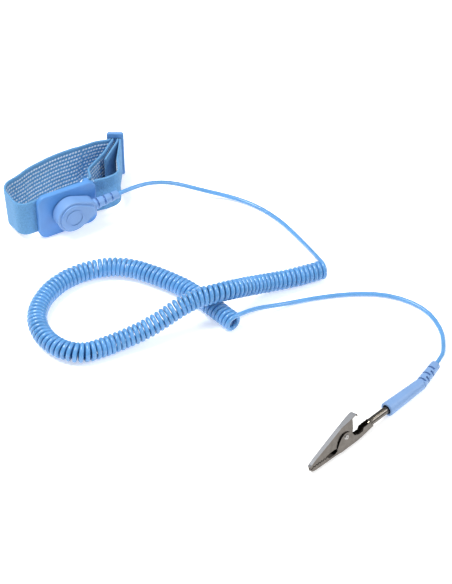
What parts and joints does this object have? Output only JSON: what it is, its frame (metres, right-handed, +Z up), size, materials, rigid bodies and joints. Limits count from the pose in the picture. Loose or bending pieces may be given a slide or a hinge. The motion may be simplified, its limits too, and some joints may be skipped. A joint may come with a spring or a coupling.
{
  "type": "grounding wrist strap",
  "caption": "Knitted wristband with a moulded snap plate and slider, a snap head, a curly grounding cord and a banana plug with an alligator clip.",
  "frame": {"origin": "bottom centre of the box of the wristband and the snap head, at the snap plate's lower edge, on the surface the strap and its cord lie on", "axes": "+X along the snap plate towards its slider side, -Y the way the snap head faces, +Z up; the band stands on edge"},
  "size_m": [0.1713, 0.2375, 0.0258],
  "materials": {
    "band_webbing": "knitted webbing, matte",
    "silver_yarn": "conductive silver yarn, soft sheen",
    "plate_plastic": "smooth satin moulding",
    "slider_plastic": "smooth satin moulding",
    "head_plastic": "satin moulding",
    "boot_plastic": "satin moulding",
    "cord_jacket": "glossy polyurethane",
    "skin_steel": "satin",
    "snap_metal": "nickel plated",
    "resistor_body": "coated",
    "tinned_wire": "tinned",
    "plug_metal": "nickel plated",
    "clip_steel": "nickel plated steel with a dark sheen"
  },
  "bodies": {
    "cord_set": {"snap_head_body": "head_plastic", "snap_head_cap": "head_plastic", "snap_socket": "snap_metal", "safety_resistor": "resistor_body", "resistor_leads": "tinned_wire", "wire_crimp": "tinned_wire", "head_strain_relief": "head_plastic", "cord_lead_strap": "cord_jacket", "cord_coil": "cord_jacket", "cord_lead_clip": "cord_jacket", "plug_boot": "boot_plastic", "banana_pin": "plug_metal"},
    "ring_spring": {"socket_ring_spring": "snap_metal"},
    "wristband": {"band_long_run": "band_webbing", "band_slider_pass": "band_webbing", "band_plate_fold": "band_webbing", "band_sewn_end": "band_webbing", "end_stitching": "silver_yarn", "snap_plate": "plate_plastic", "contact_plate": "skin_steel", "snap_stud": "snap_metal", "stud_rivet": "skin_steel"},
    "slider": {"slider_buckle": "slider_plastic"},
    "plug_spring": {"banana_spring": "plug_metal"},
    "clip_lower": {"clip_lower_jaw": "clip_steel", "clip_rivet": "clip_steel", "clip_spring": "clip_steel"},
    "clip_upper": {"clip_upper_jaw": "clip_steel"}
  },
  "joints": [
    {"name": "snap_swivel", "type": "hinge", "parent": "cord_set", "child": "ring_spring", "pos_m": [-0.0117, -0.0137, 0.013], "axis": [0, 1, 0], "continuous": true},
    {"name": "snap_release", "type": "slide", "parent": "ring_spring", "child": "wristband", "axis": [0, 1, 0], "range_m": [0, 0.007], "deforming": ["socket_ring_spring"]},
    {"name": "slider_adjust", "type": "slide", "parent": "wristband", "child": "slider", "axis": [0.8572, -0.515, 0], "range_m": [-0.003, 0.003], "deforming": ["band_slider_pass", "band_sewn_end", "end_stitching"]},
    {"name": "plug_swivel", "type": "hinge", "parent": "cord_set", "child": "plug_spring", "pos_m": [0.0494, -0.2021, 0.0035], "axis": [0.9681, 0.2504, 0], "continuous": true},
    {"name": "clip_release", "type": "slide", "parent": "plug_spring", "child": "clip_lower", "axis": [-0.9681, -0.2504, 0], "range_m": [0, 0.018]},
    {"name": "jaw_open", "type": "hinge", "parent": "clip_lower", "child": "clip_upper", "pos_m": [0.02239, -0.20831, 0.0063], "axis": [-0.2418, 0.9352, -0.2588], "range_deg": [0, 28], "stiffness_Nm_per_rad": 0.02, "springref_deg": -17.19, "deforming": ["clip_spring"]}
  ]
}
